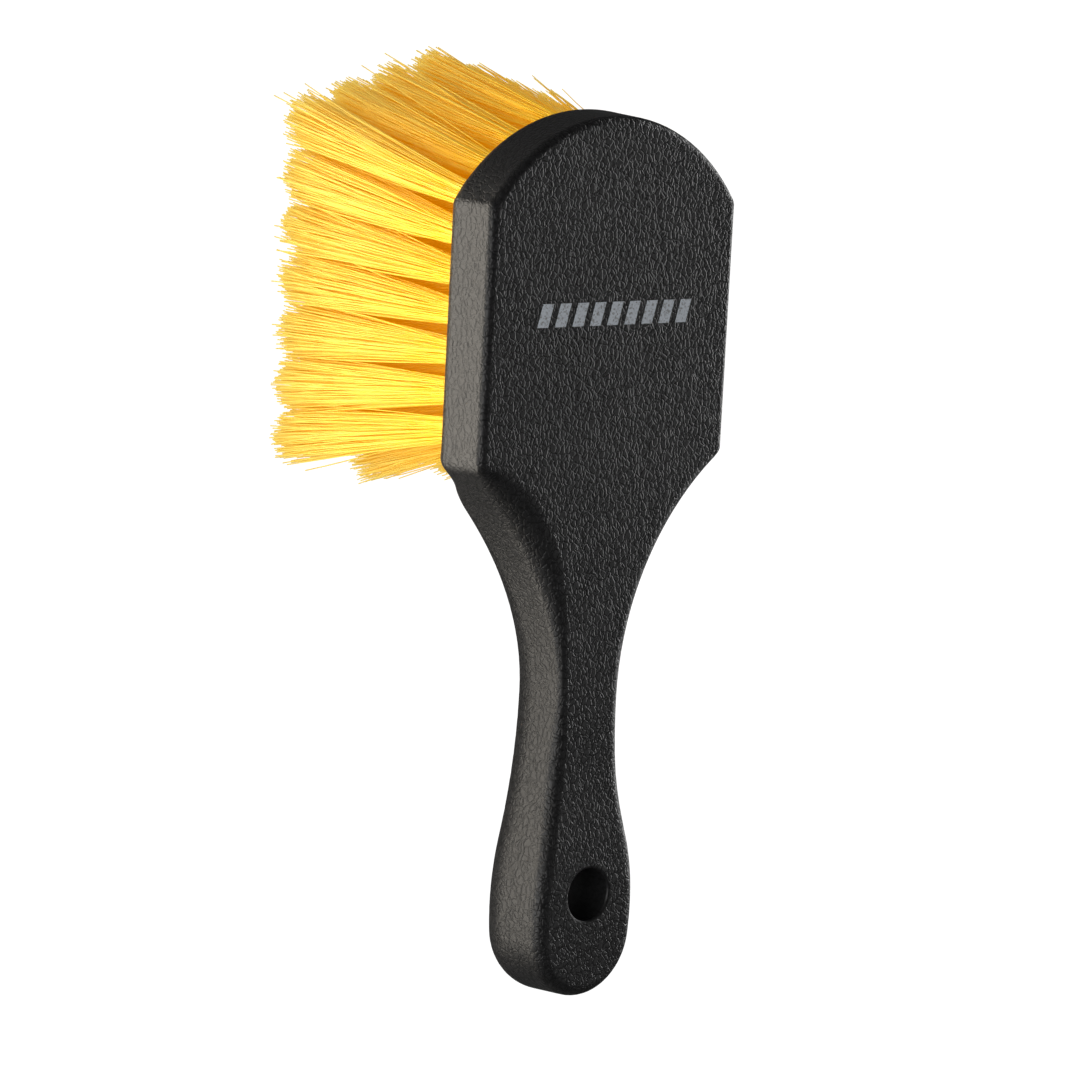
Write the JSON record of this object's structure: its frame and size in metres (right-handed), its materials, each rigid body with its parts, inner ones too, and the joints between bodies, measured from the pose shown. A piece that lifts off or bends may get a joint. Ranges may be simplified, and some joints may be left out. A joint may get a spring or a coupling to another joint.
{
  "type": "wheel brush",
  "caption": "Short-handled scrubbing brush: moulded block with rounded-top head, waisted handle and hanging hole, and a fanned field of stiff bristle tufts for washing wheels",
  "frame": {"origin": "under the middle of the whole brush, on the plane that its bristle tips stand on", "axes": "+Z from the bristle tips to the smooth back face, +Y from the handle's end to the top of the head, X across the head"},
  "size_m": [0.0898, 0.226, 0.0764],
  "materials": {
    "handle_plastic": "black moulded foam plastic with a fine leather grain",
    "bristle": "yellow synthetic filament",
    "anchor_wire": "flat drawn wire"
  },
  "bodies": {
    "root": {"handle_block": "handle_plastic", "tuft_anchors": "anchor_wire", "tuft_c1_r1": "bristle", "tuft_c1_r2": "bristle", "tuft_c1_r3": "bristle", "tuft_c1_r4": "bristle", "tuft_c1_r5": "bristle", "tuft_c1_r6": "bristle", "tuft_c1_r7": "bristle", "tuft_c2_r1": "bristle", "tuft_c2_r2": "bristle", "tuft_c2_r3": "bristle", "tuft_c2_r4": "bristle", "tuft_c2_r5": "bristle", "tuft_c2_r6": "bristle", "tuft_c2_r7": "bristle", "tuft_c3_r1": "bristle", "tuft_c3_r2": "bristle", "tuft_c3_r3": "bristle", "tuft_c3_r4": "bristle", "tuft_c3_r5": "bristle", "tuft_c3_r6": "bristle", "tuft_c3_r7": "bristle", "tuft_c3_r8": "bristle", "tuft_c4_r1": "bristle", "tuft_c4_r2": "bristle", "tuft_c4_r3": "bristle", "tuft_c4_r4": "bristle", "tuft_c4_r5": "bristle", "tuft_c4_r6": "bristle", "tuft_c4_r7": "bristle", "tuft_c4_r8": "bristle", "tuft_c5_r1": "bristle", "tuft_c5_r2": "bristle", "tuft_c5_r3": "bristle", "tuft_c5_r4": "bristle", "tuft_c5_r5": "bristle", "tuft_c5_r6": "bristle", "tuft_c5_r7": "bristle", "tuft_c5_r8": "bristle", "tuft_c6_r1": "bristle", "tuft_c6_r2": "bristle", "tuft_c6_r3": "bristle", "tuft_c6_r4": "bristle", "tuft_c6_r5": "bristle", "tuft_c6_r6": "bristle", "tuft_c6_r7": "bristle", "tuft_c7_r1": "bristle", "tuft_c7_r2": "bristle", "tuft_c7_r3": "bristle", "tuft_c7_r4": "bristle", "tuft_c7_r5": "bristle", "tuft_c7_r6": "bristle", "tuft_c7_r7": "bristle"}
  },
  "joints": []
}
